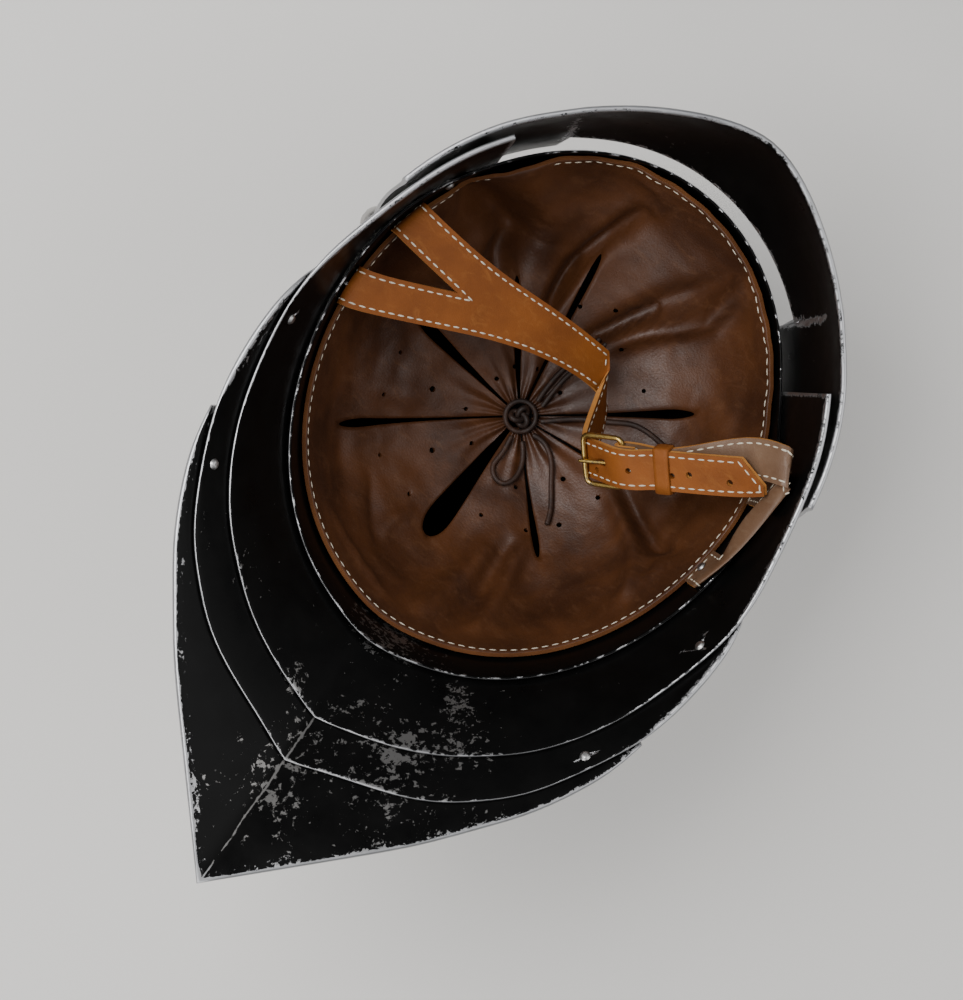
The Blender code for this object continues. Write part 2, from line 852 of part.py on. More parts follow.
def make_strap(name, lines, legs):
    """A strap as a sheet of three rails, split at its first line into two legs."""
    builder = bmesh.new()
    rails = []
    for low, middle, high in lines:
        rails.append([builder.verts.new(low), builder.verts.new(middle), builder.verts.new(high)])
    for here, after in zip(rails, rails[1:]):
        for j in (0, 1):
            builder.faces.new((here[j], here[j + 1], after[j + 1], after[j]))
    for leg, pair in zip(legs, ((rails[0][0], rails[0][1]), (rails[0][1], rails[0][2]))):
        last = pair
        for low, high in leg:
            following = (builder.verts.new(low), builder.verts.new(high))
            builder.faces.new((last[0], last[1], following[1], following[0]))
            last = following
    strap = new_object(name, builder, (0.485, 0.143, 0.021), 0.6, 0.0)
    thicken(strap, strap_thickness, Vector((0, 0, 1)), centred=True)
    return strap


def strap_line(point, side, width):
    half = side * width / 2
    return point - half, point, point + half


def table_lines(rows):
    """Cross lines of a strap from its table of places, widths and edge directions."""
    lines = []
    for across, along, up, width, edge in rows:
        middle = route_point(across, along, up)
        lines.append(strap_line(middle, Vector(edge).normalized(), strap_width * width))
    return lines


def make_long_strap():
    """From two legs on the +X side to the fold, down to the buckle, through it and on to its pointed tip."""
    across = buckle_frame_axes()[2]
    end = long_strap_end()
    lines = table_lines(long_strap_stem)
    for k, point in enumerate(end):
        width = strap_width * (tip_share if k == len(end) - 1 else 1)
        lines.append(strap_line(point, across, width))
    legs = []
    for angle, low in ((long_strap_front_angle, front_leg_end), (long_strap_rear_angle, rear_leg_end)):
        legs.append([leg_line(angle, -0.2, long_leg_lift), leg_line(angle, leg_flat), leg_line(angle, low)])
    strap = make_strap("chin_strap_long", lines, legs)
    for spot in strap_holes:
        lower = end[6] + (end[8] - end[6]) * spot
        outward = across.cross(end[8] - end[6]).normalized()
        drill((strap,), lower, outward, strap_hole_radius)
    return strap


def make_buckle_strap():
    """From two legs on the -X side up to its fold near the rim, then down to its loop on the buckle's bar."""
    across = buckle_frame_axes()[2]
    start = buckle_strap_start()
    behind, top, below = (on_wall(*row) for row in buckle_strap_fold)
    side = Vector((-0.53, 0.85, 0))
    lines = [
        strap_line(behind, side, strap_width * 0.9),
        strap_line(top, side, strap_width * 0.95),
        strap_line(below, (side + across).normalized(), strap_width),
    ]
    lines += [strap_line(point, across, strap_width) for point in reversed(start)]
    legs = []
    for angle, low in ((-buckle_strap_front_angle, front_leg_end), (-buckle_strap_rear_angle, rear_leg_end)):
        legs.append([
            leg_line(angle, 0.3, buckle_leg_lift),
            leg_line(angle, -0.05, buckle_leg_bend),
            leg_line(angle, leg_flat),
            leg_line(angle, low),
        ])
    turn_edge = Vector(rear_leg_turn_edge).normalized()
    inner, _, outer = strap_line(on_wall(*rear_leg_turn), turn_edge, strap_width)
    legs[1][0] = (inner, outer)
    return make_strap("chin_strap_buckle", lines, legs)


def make_buckle(long_strap, buckle_strap):
    """A brass frame with rounded corners, and its prong through both straps."""
    half_width = strap_width / 2 + strap_gap + bar_radius * 1.6
    bar = buckle_length / 2
    corner = buckle_corner
    points = []
    for along_sign, across_sign, first in ((1, 1, 0), (-1, 1, 90), (-1, -1, 180), (1, -1, 270)):
        for turn in (0, 30, 60, 90):
            lean = math.radians(first + turn)
            points.append(in_buckle(
                along_sign * (bar - corner) + corner * math.cos(lean), 0,
                across_sign * (half_width - corner) + corner * math.sin(lean)))
    tube("buckle_frame", points, bar_radius, True, 2, (0.40, 0.26, 0.05), 0.3, 1.0)
    start = in_buckle(-bar - bar_radius, bar_radius + prong_radius + seat_gap)
    end = in_buckle(bar - bar_radius - seat_gap, prong_radius)
    line = [start, (start + end) / 2, end]
    tube("buckle_prong", line, prong_radius, False, 2, (0.40, 0.26, 0.05), 0.3, 1.0)
    straps = (long_strap, buckle_strap)
    drill(straps, (start + end) / 2, end - start, prong_radius + hole_clearance, buckle_length * 0.75)


def make_keeper():
    """A leather band round both straps."""
    half_width = strap_width / 2 + strap_gap
    low = -strap_gap - strap_thickness / 2 - strap_gap
    high = strap_thickness * 1.5 + strap_gap
    first = buckle_length / 2 + keeper_from
    builder = bmesh.new()
    loops = []
    for along_by in (first, first + keeper_width):
        for extra in (0, keeper_thickness):
            corners = []
            near, far = low - extra, high + extra
            reach = half_width + extra
            for across_by, level in ((-reach, near), (reach, near), (reach, far), (-reach, far)):
                corners.append(builder.verts.new(in_buckle(along_by, level, across_by)))
            loops.append(corners)
    for one, other in ((0, 1), (1, 3), (3, 2), (2, 0)):
        for k in range(4):
            following = (k + 1) % 4
            first, last = loops[one], loops[other]
            builder.faces.new((first[k], first[following], last[following], last[k]))
    return new_object("strap_keeper", builder, (0.45, 0.13, 0.02), 0.6, 0.0)


def tube(name, points, radius, closed, resolution, colour, roughness, metallic):
    """A round bar or thong along points, as a curve with filled caps."""
    curve = bpy.data.curves.new(name, "CURVE")
    curve.dimensions = "3D"
    curve.bevel_depth = radius
    curve.bevel_resolution = resolution
    curve.use_fill_caps = True
    spline = curve.splines.new("POLY")
    spline.points.add(len(points) - 1)
    for target, point in zip(spline.points, points):
        target.co = (*point, 1)
    spline.use_cyclic_u = closed
    made = bpy.data.objects.new(name, curve)
    bpy.context.scene.collection.objects.link(made)
    paint(made, colour, roughness, metallic)
    return made


def smooth_route(points, count):
    """Points read from a smooth curve through a route's own points."""
    read = []
    last = len(points) - 1
    for k in range(count):
        position = last * k / (count - 1)
        whole = min(int(position), last - 1)
        t = position - whole
        a, b, c, d = (points[min(max(whole + j, 0), last)] for j in (-1, 0, 1, 2))
        read.append((a * (-t ** 3 + 2 * t ** 2 - t) + b * (3 * t ** 3 - 5 * t ** 2 + 2)
                     + c * (-3 * t ** 3 + 4 * t ** 2 + t) + d * (t ** 3 - t ** 2)) / 2)
    return read


def over_liner(ground, across, along):
    """A thong's middle where it lies on the liner, at a place measured from the skull's centre."""
    heights = []
    for dx, dy in ((0, 0), (1, 0), (-1, 0), (0, 1), (0, -1)):
        above = Vector((across + dx * lace_radius, along - crown_setback + dy * lace_radius, rim_side_height))
        spot = ground.ray_cast(above, Vector((0, 0, -1)))[0]
        if spot:
            heights.append(spot.z)
    return Vector((across, along - crown_setback, max(heights) + lace_radius + lace_gap))


def make_lace(liner):
    """A ring of thong round the middle hole gathers the tongues; a bow and loose ends lie round it."""
    colour = (0.045, 0.02, 0.012)
    mesh = liner.data
    ground = BVHTree.FromPolygons([v.co for v in mesh.vertices], [p.vertices for p in mesh.polygons])
    ring = []
    for k in range(16):
        turn = 2 * math.pi * k / 16
        across = tie_across + tie_ring * math.sin(turn)
        along = tie_along + tie_ring * math.cos(turn)
        ring.append(over_liner(ground, across, along))
    tube("lace_tie", ring, lace_radius, True, 2, colour, 0.7, 0.0)
    for name, route in (
        ("lace_strand_left", lace_strand_left),
        ("lace_strand_right", lace_strand_right),
        ("lace_bow", lace_bow),
        ("lace_end_rear", lace_end_rear),
        ("lace_end_side", lace_end_side),
    ):
        plan = [Vector((across * skull_half_width, along * skull_front)) for across, along in route]
        points = [over_liner(ground, *point) for point in smooth_route(plan, 2 * len(plan) - 1)]
        tube(name, points, lace_radius, False, 2, colour, 0.7, 0.0)


def main():
    for made in list(bpy.data.objects):
        bpy.data.objects.remove(made)
    skull = make_skull()
    lame_1, lame_2, tail = make_lames()
    visor = make_visor()
    long_strap = make_long_strap()
    buckle_strap = make_buckle_strap()
    make_rivets(skull, lame_1, lame_2, tail, {1: long_strap, -1: buckle_strap})
    make_bolts(skull, visor)
    liner = make_liner()
    make_buckle(long_strap, buckle_strap)
    make_keeper()
    make_lace(liner)
    stack = plate_gap + sheet
    set_origin(visor, Vector((0, -crown_setback - pivot_ahead, pivot_height)))
    set_origin(lame_2, hinge_point(lame_2_pivot_angle, lame_2_pivot_share, stack))
    set_origin(tail, hinge_point(tail_pivot_angle, tail_pivot_share, 2 * stack))


main()
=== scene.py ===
# %% [markdown]
# # A sallet, lying on its crown
# A sallet is a close steel helmet with a long pointed tail. Here it lies upside down, so we look into it.
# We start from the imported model, which is exact but made of flat facets. Each piece then gets its smooth
# surface, its stitches and its finish. Everything is in metres, +Z is up and the visor points to -Y.

import math

import bmesh
import bpy
from mathutils import Matrix, Vector, noise
from mathutils.bvhtree import BVHTree
from mathutils.kdtree import KDTree


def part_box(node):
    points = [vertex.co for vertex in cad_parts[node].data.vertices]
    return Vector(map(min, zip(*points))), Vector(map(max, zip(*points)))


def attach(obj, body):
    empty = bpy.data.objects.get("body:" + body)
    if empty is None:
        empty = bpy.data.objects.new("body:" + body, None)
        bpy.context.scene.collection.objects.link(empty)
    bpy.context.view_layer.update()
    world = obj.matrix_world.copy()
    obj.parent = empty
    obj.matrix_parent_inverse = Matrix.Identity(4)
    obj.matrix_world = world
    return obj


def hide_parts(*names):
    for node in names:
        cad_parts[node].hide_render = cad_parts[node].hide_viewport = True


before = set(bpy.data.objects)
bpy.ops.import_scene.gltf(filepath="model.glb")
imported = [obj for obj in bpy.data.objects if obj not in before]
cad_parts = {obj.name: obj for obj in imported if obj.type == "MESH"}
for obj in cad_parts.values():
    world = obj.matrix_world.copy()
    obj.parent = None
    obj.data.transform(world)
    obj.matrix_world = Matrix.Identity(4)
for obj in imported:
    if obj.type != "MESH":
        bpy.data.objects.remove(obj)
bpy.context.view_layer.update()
MM = 0.001
print("pieces in the model:", len(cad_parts))

# %% [markdown]
# ## The camera
# The helmet is seen from almost straight above, turned so that the tail points down and to the left.
# A camera looks along its own -Z. We give the way it looks and the way that is up in the picture, and build
# its three axes from them. The lens is long, so near and far rims are almost at one scale.

# %% Camera
look = Vector((-0.126, -0.027, -0.992)).normalized()
up = Vector((0.618, -0.784, -0.057))
right = look.cross(up).normalized()
up = right.cross(look).normalized()
eye = Vector((0.1665, 0.0742, 1.4788))
focal_pixels = 2851
picture_height = 1000
middle_across, middle_down = 481.5, 500

bpy.ops.object.camera_add(location=eye)
camera = bpy.context.object
camera.rotation_mode = "QUATERNION"
camera.rotation_quaternion = Matrix((right, up, -look)).transposed().to_quaternion()
camera.data.sensor_width = 36
camera.data.lens = camera.data.sensor_width * focal_pixels / picture_height
bpy.context.scene.camera = camera
print("lens in mm:", round(camera.data.lens, 1))

# %% [markdown]
# ## A few tools
# Operators act on whatever is selected, so every step begins by selecting one piece only. A merged copy of a
# model piece is our usual start: its loose triangles are joined to one skin, and pairs of triangles
# become the four-sided faces that smooth well.

# %% Select, copy and change a piece
weld_distance = 0.01 * MM


def only(piece):
    bpy.ops.object.select_all(action="DESELECT")
    piece.select_set(True)
    bpy.context.view_layer.objects.active = piece


def edit(piece, mode="VERT"):
    only(piece)
    bpy.ops.object.mode_set(mode="EDIT")
    bpy.ops.mesh.select_mode(type=mode)
    bpy.ops.mesh.select_all(action="DESELECT")


def done():
    bpy.ops.object.mode_set(mode="OBJECT")


def modify(piece, kind, **settings):
    """Adds a modifier with its settings and applies it."""
    only(piece)
    bpy.ops.object.modifier_add(type=kind)
    modifier = piece.modifiers[-1]
    for name, value in settings.items():
        setattr(modifier, name, value)
    bpy.ops.object.modifier_apply(modifier=modifier.name)


def merged_copy(node, name):
    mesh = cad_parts[node].data.copy()
    mesh.materials.clear()
    piece = bpy.data.objects.new(name, mesh)
    bpy.context.scene.collection.objects.link(piece)
    edit(piece)
    bpy.ops.mesh.select_all(action="SELECT")
    bpy.ops.mesh.remove_doubles(threshold=weld_distance)
    done()
    return piece


def to_quads(piece):
    edit(piece, "FACE")
    bpy.ops.mesh.select_all(action="SELECT")
    bpy.ops.mesh.tris_convert_to_quads(face_threshold=math.radians(30), shape_threshold=math.radians(60))
    done()


def crease_edges(piece, sharpness, value=1.0):
    """Edges that turn by more than an angle stay crisp when the piece is smoothed."""
    edit(piece, "EDGE")
    bpy.ops.mesh.edges_select_sharp(sharpness=math.radians(sharpness))
    bpy.ops.transform.edge_crease(value=value)
    done()


def smooth(piece, angle=35):
    only(piece)
    bpy.ops.object.shade_smooth_by_angle(angle=math.radians(angle))


def stand_for(piece, node, body):
    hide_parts(node)
    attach(piece, body)
    print(piece.name, "stands for", node, "with", len(piece.data.polygons), "faces")


# %% [markdown]
# Some details are easiest to place where the picture shows them. A ray from the camera through a place in
# the picture meets a surface in one point, so such a detail always lies on the piece that carries it.

# %% A ray through the picture
def surface_of(piece):
    mesh = piece.data
    return BVHTree.FromPolygons([v.co for v in mesh.vertices], [p.vertices for p in mesh.polygons])


def seen_at(surface, across, down):
    """The point, the normal and the face of a surface at a place in the picture."""
    ray = look + right * (across - middle_across) / focal_pixels + up * (middle_down - down) / focal_pixels
    return surface.ray_cast(eye, ray.normalized())[:3]


def both_sides(surface, across, down):
    """The faces of a sheet that are seen at a place in the picture and hidden right behind it."""
    point, normal, front = seen_at(surface, across, down)
    back = surface.ray_cast(point - normal * 0.1 * MM, -normal)[2]
    return front, back


# %% [markdown]
# A sheet of leather has two broad sides and narrow cut edges. First the faces are gathered into patches that
# turn gently. A ray from each face into the leather then tells what the patch is: behind a broad side it
# comes out after the sheet's thickness, behind a cut edge much later. The line where a broad side meets a
# cut edge is creased, so that it stays crisp.

# %% Part a sheet into its sides and its cut edges
gentle = 0.6  # the cosine of the largest turn between two faces of one patch
ray_start = 0.4 * MM  # below the face, so that the ray doesn't meet the face itself
thick_enough = 1.7  # a broad side's ray comes out within this many thicknesses
large_enough = 14  # a broad side's area, in squares of the thickness


def spread(first, wanted):
    """Gathers the faces that are reached from one face through edges that a test allows."""
    reached, waiting = {first}, [first]
    while waiting:
        face = waiting.pop()
        for edge in face.edges:
            for beside in edge.link_faces:
                if beside not in reached and wanted(face, beside):
                    reached.add(beside)
                    waiting.append(beside)
    return reached


def part_sides(piece, place, thickness, corners=False):
    """Slot 2 for the side seen at a place in the picture, 0 for the side behind it, 1 for the cut edges.

    With corners, the outline keeps its sharp corners too."""
    surface = surface_of(piece)
    front, back = both_sides(surface, *place)
    shape = bmesh.new()
    shape.from_mesh(piece.data)
    shape.faces.ensure_lookup_table()
    loose, broad = set(shape.faces), set()
    while loose:
        patch = spread(next(iter(loose)),
                       lambda face, beside: beside in loose and beside.normal.dot(face.normal) > gentle)
        loose -= patch
        depths = []
        for face in patch:
            hit = surface.ray_cast(face.calc_center_median() - face.normal * ray_start, -face.normal)
            depths.append((hit[3] or 1.0, face.calc_area()))
        # the depth that half of the patch's area stays under
        half, so_far = sum(area for _, area in depths) / 2, 0.0
        for depth, area in sorted(depths):
            so_far += area
            if so_far >= half:
                break
        if depth < thick_enough * thickness and 2 * half > large_enough * thickness ** 2:
            broad |= patch
    for face in shape.faces:
        face.material_index = 1
    for first, slot in ((back, 0), (front, 2)):
        for face in spread(shape.faces[first], lambda face, beside: beside in broad):
            face.material_index = slot
    creases = shape.edges.layers.float.new("crease_edge")
    for edge in shape.edges:
        narrow = [face.material_index == 1 for face in edge.link_faces]
        corner = corners and all(narrow) and edge.calc_face_angle(0) > math.radians(40)
        if len(set(narrow)) == 2 or corner:
            edge[creases] = 1.0
    shape.to_mesh(piece.data)
    shape.free()
    slots = [face.material_index for face in piece.data.polygons]
    print(piece.name, "faces on the back, the edges and the front:", [slots.count(slot) for slot in range(3)])


# %% [markdown]
# ## Building a material from nodes
# A helper adds a shader node, fills its inputs and links those that are given as another node's output.
# An effect that several materials use becomes a node group with named inputs and outputs.

# %% Node helpers
def feed(tree, socket, value):
    """Links another node's output to a socket, or sets the socket's own value."""
    if isinstance(value, bpy.types.NodeSocket):
        tree.links.new(value, socket)
    elif value is not None:
        socket.default_value = value


def add(tree, kind, inputs=None, **settings):
    made = tree.nodes.new(kind)
    for name, value in settings.items():
        setattr(made, name, value)
    for name, value in (inputs or {}).items():
        feed(tree, made.inputs[name], value)
    return made


def maths(tree, operation, first, second=0.5, third=None):
    made = tree.nodes.new("ShaderNodeMath")
    made.operation = operation
    for index, value in enumerate((first, second, third)):
        feed(tree, made.inputs[index], value)
    return made.outputs[0]


def mix_colour(tree, factor, first, second):
    """A mix node has inputs of every kind; its colours are the sockets 6 and 7, and output 2."""
    made = add(tree, "ShaderNodeMix", data_type="RGBA")
    for index, value in ((0, factor), (6, first), (7, second)):
        feed(tree, made.inputs[index], value)
    return made.outputs[2]


def step(tree, value, low, high):
    """Turns a value into a mask that goes from 0 to 1 between two limits."""
    made = add(tree, "ShaderNodeMapRange", {"Value": value}, interpolation_type="SMOOTHSTEP")
    made.inputs["From Min"].default_value = low
    made.inputs["From Max"].default_value = high
    return made.outputs["Result"]


def noise_at(tree, place, scale, detail=4.0, roughness=0.55, distortion=0.0):
    made = add(tree, "ShaderNodeTexNoise", {"Vector": place, "Scale": scale, "Detail": detail,
                                             "Roughness": roughness, "Distortion": distortion})
    return made.outputs["Fac"]


def stretched(tree, place, scale):
    return add(tree, "ShaderNodeMapping", {"Vector": place, "Scale": scale}).outputs["Vector"]


def new_group(name, inputs, outputs):
    tree = bpy.data.node_groups.new(name, "ShaderNodeTree")
    for label, kind in inputs:
        tree.interface.new_socket(name=label, in_out="INPUT", socket_type=kind)
    for label, kind in outputs:
        tree.interface.new_socket(name=label, in_out="OUTPUT", socket_type=kind)
    return tree, tree.nodes.new("NodeGroupInput").outputs, tree.nodes.new("NodeGroupOutput").inputs


def place_group(tree, group, inputs):
    made = tree.nodes.new("ShaderNodeGroup")
    made.node_tree = group
    for name, value in inputs.items():
        feed(tree, made.inputs[name], value)
    return made.outputs


def new_material(name):
    material = bpy.data.materials.new(name)
    material.use_nodes = True
    tree = material.node_tree
    place = tree.nodes.new("ShaderNodeTexCoord").outputs["Object"]
    return material, tree, tree.nodes["Principled BSDF"], place


def bump(tree, shader, height, distance, strength=1.0):
    made = add(tree, "ShaderNodeBump", {"Height": height, "Distance": distance, "Strength": strength})
    tree.links.new(made.outputs["Normal"], shader.inputs["Normal"])


# %% [markdown]
# ## Steel with old black paint
# The plates are bare steel outside and painted black inside. The paint is thick and glossy, and it has
# flaked off in ragged patches and along every edge. Two noises of different size decide where it holds.
# Three marks on the mesh steer them: how far a face looks inwards, how near it is to a rim, and where the
# helmet was worn most.

# %% Group: where the paint still holds
paint_group, g_in, g_out = new_group(
    "paint that holds",
    (("Place", "NodeSocketVector"), ("Inside", "NodeSocketFloat"), ("Rim", "NodeSocketFloat"),
     ("Wear", "NodeSocketFloat"), ("Ridge", "NodeSocketFloat"), ("Amount", "NodeSocketFloat")),
    (("Paint", "NodeSocketFloat"), ("Height", "NodeSocketFloat")))
blotches = noise_at(paint_group, g_in["Place"], 48, 3)
flakes = noise_at(paint_group, stretched(paint_group, g_in["Place"], (1.0, 0.7, 1.3)), 270, 12, 0.68, 0.4)
specks = noise_at(paint_group, g_in["Place"], 820, 3, 0.6)
mixed = maths(paint_group, "MULTIPLY_ADD", flakes, 0.68, maths(paint_group, "MULTIPLY", specks, 0.12))
mixed = maths(paint_group, "MULTIPLY_ADD", blotches, 0.20, mixed)
limit = maths(paint_group, "MULTIPLY_ADD", g_in["Wear"], -0.115, g_in["Amount"])
limit = maths(paint_group, "MULTIPLY_ADD", g_in["Rim"], -0.10, limit)
side = add(paint_group, "ShaderNodeSeparateXYZ", {"Vector": g_in["Place"]}).outputs["X"]
side = maths(paint_group, "MULTIPLY_ADD", maths(paint_group, "SUBTRACT", blotches, 0.5), 3 * MM, side)
off_crest = step(paint_group, maths(paint_group, "ABSOLUTE", side), 0.1 * MM, 0.7 * MM)
crest = maths(paint_group, "SUBTRACT", 1.0, off_crest)
limit = maths(paint_group, "MULTIPLY_ADD", maths(paint_group, "MULTIPLY", crest, g_in["Ridge"]), -0.16, limit)
bare = step(paint_group, maths(paint_group, "SUBTRACT", mixed, limit), -0.004, 0.006)
ragged = maths(paint_group, "MULTIPLY_ADD", maths(paint_group, "SUBTRACT", flakes, 0.5), 1.1, g_in["Inside"])
cover = step(paint_group, maths(paint_group, "MULTIPLY_ADD", g_in["Rim"], -0.62, ragged), 0.42, 0.50)
paint = maths(paint_group, "MULTIPLY", cover, maths(paint_group, "SUBTRACT", 1.0, bare))
paint_group.links.new(paint, g_out["Paint"])
paint_group.links.new(maths(paint_group, "MULTIPLY_ADD", blotches, 0.3, paint), g_out["Height"])
print("made the paint group")

# %% [markdown]
# Steel that was polished by hand has fine lines that run round the helmet, a few deeper scratches that
# cross them, and duller spots where it has begun to darken.

# %% Group: hand-polished steel
steel_group, g_in, g_out = new_group(
    "polished steel",
    (("Place", "NodeSocketVector"),),
    (("Tone", "NodeSocketFloat"), ("Lines", "NodeSocketFloat"), ("Dull", "NodeSocketFloat")))
lines = noise_at(steel_group, stretched(steel_group, g_in["Place"], (25, 25, 1400)), 1.0, 3)
cross = noise_at(steel_group, stretched(steel_group, g_in["Place"], (900, 60, 90)), 1.0, 2)
patches = noise_at(steel_group, g_in["Place"], 60, 6, 0.6)
steel_group.links.new(patches, g_out["Tone"])
steel_group.links.new(maths(steel_group, "MULTIPLY_ADD", cross, 0.4, lines), g_out["Lines"])
dark_spots = noise_at(steel_group, g_in["Place"], 240, 8, 0.7)
steel_group.links.new(step(steel_group, dark_spots, 0.52, 0.68), g_out["Dull"])
print("made the steel group")


# %% Material: painted plate
def painted_plate(name, amount, ridge):
    material, tree, shader, place = new_material(name)
    marks = {label: add(tree, "ShaderNodeAttribute", attribute_name=label.lower()).outputs["Fac"]
             for label in ("Inside", "Rim", "Wear")}
    held = place_group(tree, paint_group, {"Place": place, "Amount": amount, "Ridge": ridge, **marks})
    metal = place_group(tree, steel_group, {"Place": place})
    bright = mix_colour(tree, metal["Tone"], (0.30, 0.30, 0.31, 1), (0.56, 0.56, 0.57, 1))
    steel = mix_colour(tree, maths(tree, "MULTIPLY", metal["Dull"], 0.22), bright, (0.20, 0.19, 0.18, 1))
    chipped = maths(tree, "MULTIPLY", marks["Inside"], maths(tree, "SUBTRACT", 1.0, marks["Rim"]))
    under = mix_colour(tree, chipped, steel, mix_colour(tree, 0.72, steel, (0.16, 0.15, 0.135, 1)))
    black = mix_colour(tree, metal["Tone"], (0.0008, 0.0008, 0.0009, 1), (0.0042, 0.0041, 0.0039, 1))
    tree.links.new(mix_colour(tree, held["Paint"], under, black), shader.inputs["Base Color"])
    rough_steel = maths(tree, "MULTIPLY_ADD", metal["Lines"], 0.16, 0.30)
    rough_paint = maths(tree, "MULTIPLY_ADD", metal["Tone"], 0.34, 0.16)
    shader.inputs["Specular IOR Level"].default_value = 0.08
    rough = add(tree, "ShaderNodeMix", {0: held["Paint"], 2: rough_steel, 3: rough_paint})
    tree.links.new(rough.outputs[0], shader.inputs["Roughness"])
    tree.links.new(maths(tree, "SUBTRACT", 1.0, held["Paint"]), shader.inputs["Metallic"])
    height = maths(tree, "MULTIPLY_ADD", metal["Lines"], 0.06, held["Height"])
    bump(tree, shader, height, 0.2 * MM, 0.7)
    return material


paint_amount = 0.655
plain_paint = painted_plate("black paint on steel", paint_amount, 0)
ridge_paint = painted_plate("black paint on ridged steel", paint_amount, 1)
print("made", plain_paint.name, "and", ridge_paint.name)

# %% [markdown]
# ## The plates
# Skull, lames, tail and visor are copies of the model's plates. The rivets fill their holes, so the holes are
# closed first: the wall of each hole goes, and one plain face fills each ring that it leaves. The cut edges
# and the ridge down the tail keep a crease, and two levels of subdivision round off the facets.

# %% Close a plate's rivet holes
hole_reach = 2.4 * MM
rivet_reach = 12 * MM


def heal_holes(piece, rivets):
    """Removes each hole's wall and fills the two rings that it leaves."""
    surface = surface_of(piece)
    shape = bmesh.new()
    shape.from_mesh(piece.data)
    ring = set()
    for rivet in rivets:
        low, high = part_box(rivet)
        middle = (low + high) / 2
        _, axis, _, _ = surface.find_nearest(middle)
        for vertex in shape.verts:
            away = vertex.co - middle
            if away.length < rivet_reach and (away - axis * away.dot(axis)).length < hole_reach:
                ring.add(vertex)
    walls = [face for face in shape.faces if all(vertex in ring for vertex in face.verts)]
    bmesh.ops.delete(shape, geom=walls, context="FACES_ONLY")
    bmesh.ops.holes_fill(shape, edges=[edge for edge in shape.edges if edge.is_boundary], sides=0)
    shape.to_mesh(piece.data)
    shape.free()


# %% Mark a plate's mesh
aim = Vector((0, -0.01, 0.235))  # above the opening: what faces it is inside
plan_middle = -18 * MM  # the rims' angles are taken round this place on the Y axis
worn_spots = []


def mark(piece, label, values):
    attribute = piece.data.attributes.new(label, "FLOAT", "POINT")
    attribute.data.foreach_set("value", values)


def between(value, low, high):
    share = min(max((value - low) / (high - low), 0), 1)
    return share * share * (3 - 2 * share)


def outline_points(piece, sharpness):
    """A search tree of points along the edges that turn by more than an angle."""
    edit(piece, "EDGE")
    bpy.ops.mesh.edges_select_sharp(sharpness=math.radians(sharpness))
    done()
    mesh = piece.data
    points = []
    for edge in mesh.edges:
        if edge.select:
            first, last = (mesh.vertices[index].co for index in edge.vertices)
            count = max(1, round((last - first).length / (2 * MM)))
            points += [first.lerp(last, k / count) for k in range(count + 1)]
    tree = KDTree(len(points))
    for index, point in enumerate(points):
        tree.insert(point, index)
    tree.balance()
    return tree


def mark_plate(piece, rims, rim_width, rolled, rolled_width):
    """A rolled rim is worn over its whole width; rolled gives the angles, from the tail's point, that it spans."""
    inside, rim, wear = [], [], []
    for vertex in piece.data.vertices:
        towards = (aim - vertex.co).normalized()
        inside.append(between(vertex.normal.dot(towards), -0.10, 0.35))
        distance = rims.find(vertex.co)[2]
        angle = math.degrees(math.atan2(abs(vertex.co.x), vertex.co.y - plan_middle))
        share = between(angle, rolled[0] - 4, rolled[0] + 2) * (1 - between(angle, rolled[1] - 2, rolled[1] + 4))
        width = rim_width + (rolled_width - rim_width) * share
        rim.append(math.exp(-(distance / width) ** 2))
        wear.append(sum(strength * math.exp(-((vertex.co - spot).length / radius) ** 2)
                        for spot, radius, strength in worn_spots))
    mark(piece, "inside", inside)
    mark(piece, "rim", rim)
    mark(piece, "wear", wear)


# %% Where the paint is worn most
wear_seen = (
    # node, across, down, radius, strength
    ("lame_1", 385, 725, 18 * MM, 0.65),
    ("lame_1", 425, 728, 12 * MM, 0.45),
    ("lame_1", 480, 725, 22 * MM, 0.65),
    ("lame_1", 455, 700, 8 * MM, 0.8),
    ("lame_1", 296, 672, 10 * MM, 1.0),
    ("lame_1", 345, 705, 11 * MM, 0.9),
    ("lame_1", 310, 600, 14 * MM, 0.4),
    ("skull", 375, 630, 20 * MM, 1.1),
    ("skull", 415, 645, 20 * MM, 0.8),
    ("lame_1", 250, 560, 26 * MM, 0.6),
    ("lame_2", 300, 735, 16 * MM, 0.9),
    ("lame_2", 390, 765, 26 * MM, 0.4),
    ("tail", 245, 775, 22 * MM, 0.6),
    ("tail", 280, 800, 14 * MM, 0.8),
    ("tail", 330, 835, 30 * MM, 0.5),
    ("tail", 420, 805, 34 * MM, 0.6),
    ("tail", 200, 800, 16 * MM, 0.45),
    ("visor", 660, 140, 30 * MM, 0.3),
)
for node, across, down, radius, strength in wear_seen:
    point = seen_at(surface_of(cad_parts[node]), across, down)[0]
    if point:
        worn_spots.append((point, radius, strength))
print("worn spots:", len(worn_spots))

# %% Plates
lame_rivets = ["lame_rivet_front_left", "lame_rivet_front_right", "lame_rivet_rear_left", "lame_rivet_rear_right"]
pivots_2 = ["lame_2_pivot_left", "lame_2_pivot_right"]
tail_pivots = ["tail_pivot_left", "tail_pivot_right"]
bolts = ["visor_bolt_left", "visor_bolt_right"]
plates = (
    # node, body, rivets in it, width of the worn edge, angles of the rolled rim, its worn width
    ("skull", "helmet", lame_rivets, 0.9 * MM, (0, 0), 0.9 * MM),
    ("lame_1", "helmet", lame_rivets + pivots_2, 1.1 * MM, (78, 144), 3.6 * MM),
    ("lame_2", "lame_2", pivots_2 + tail_pivots, 1.1 * MM, (54, 78), 3.6 * MM),
    ("tail", "tail", tail_pivots, 1.6 * MM, (-20, 52), 2.6 * MM),
    ("visor", "visor", [], 1.8 * MM, (90, 200), 3.2 * MM),
)
